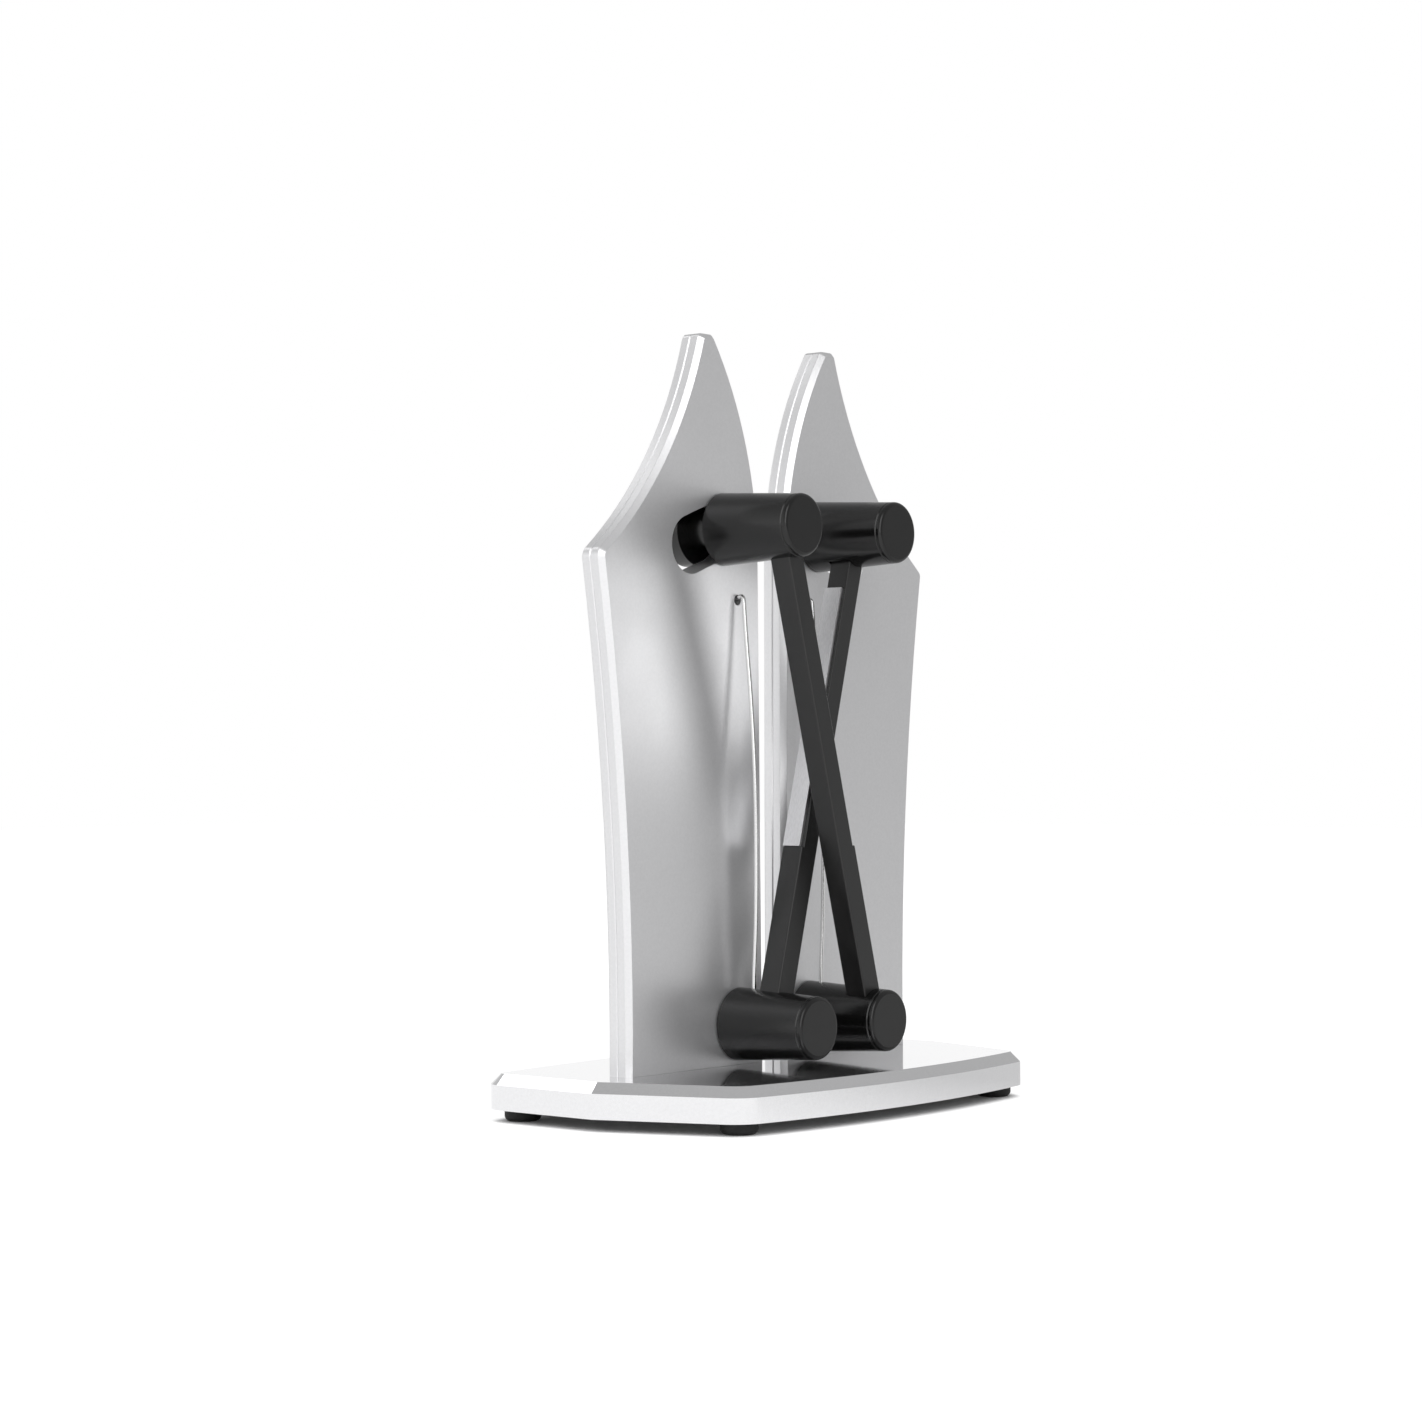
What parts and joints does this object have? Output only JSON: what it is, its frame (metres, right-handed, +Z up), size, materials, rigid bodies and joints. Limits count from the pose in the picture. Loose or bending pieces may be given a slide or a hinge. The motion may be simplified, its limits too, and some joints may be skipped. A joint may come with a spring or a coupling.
{
  "type": "pull-through knife sharpener",
  "caption": "Free-standing pull-through knife sharpener: upright twin fins on a bevelled base, with crossed spring-loaded arms that carry hard sharpening strips.",
  "frame": {"origin": "on the ground under the middle of the base, where the feet stand", "axes": "+Z up, +Y away from the user, +X to the right across the face of the fins"},
  "size_m": [0.151, 0.089, 0.2059],
  "materials": {
    "fin_silver": "satin silver metallic lacquer with soft reflections",
    "base_silver": "glossy silver metallic lacquer",
    "underside_black": "plain black moulding",
    "moulded_black": "semi-gloss black moulding",
    "arm_black": "satin black moulding",
    "carbide": "ground grey hard metal with fine lengthwise lines",
    "spring_steel": "bright drawn wire",
    "foot_rubber": "matte black rubber",
    "fastener_steel": "zinc plated steel"
  },
  "bodies": {
    "base": {"base_shell": "base_silver", "base_plate": "underside_black", "base_screws": "fastener_steel", "front_left_foot": "foot_rubber", "front_right_foot": "foot_rubber", "rear_left_foot": "foot_rubber", "rear_right_foot": "foot_rubber", "fin_screws": "fastener_steel", "left_fin_front": "fin_silver", "left_fin_rear": "fin_silver", "right_fin_front": "fin_silver", "right_fin_rear": "fin_silver", "fin_shell_screws": "fastener_steel", "inner_pivot_pin": "fastener_steel", "inner_pivot_washer": "fastener_steel", "inner_pivot_screw": "fastener_steel", "outer_pivot_pin": "fastener_steel", "outer_pivot_washer": "fastener_steel", "outer_pivot_screw": "fastener_steel"},
    "inner_lever": {"inner_hub": "moulded_black", "inner_hub_cap": "moulded_black", "inner_arm": "arm_black", "inner_carbide_strip": "carbide", "inner_knob": "moulded_black", "inner_knob_cap": "moulded_black", "inner_rear_cap": "moulded_black", "inner_rear_cap_screw": "fastener_steel", "inner_spring_wire": "spring_steel"},
    "outer_lever": {"outer_hub": "moulded_black", "outer_hub_cap": "moulded_black", "outer_arm": "arm_black", "outer_carbide_strip": "carbide", "outer_knob": "moulded_black", "outer_knob_cap": "moulded_black", "outer_rear_cap": "moulded_black", "outer_rear_cap_screw": "fastener_steel", "outer_spring_wire": "spring_steel"}
  },
  "joints": [
    {"name": "inner_pivot", "type": "hinge", "parent": "base", "child": "inner_lever", "pos_m": [-0.0155, -0.0127, 0.02325], "axis": [0, 1, 0], "range_deg": [0, 7], "stiffness_Nm_per_rad": 0.6, "springref_deg": -10.03, "deforming": ["inner_spring_wire"]},
    {"name": "outer_pivot", "type": "hinge", "parent": "base", "child": "outer_lever", "pos_m": [0.0155, -0.0127, 0.02325], "axis": [0, -1, 0], "range_deg": [0, 7], "stiffness_Nm_per_rad": 0.6, "springref_deg": -10.03, "deforming": ["outer_spring_wire"]}
  ]
}
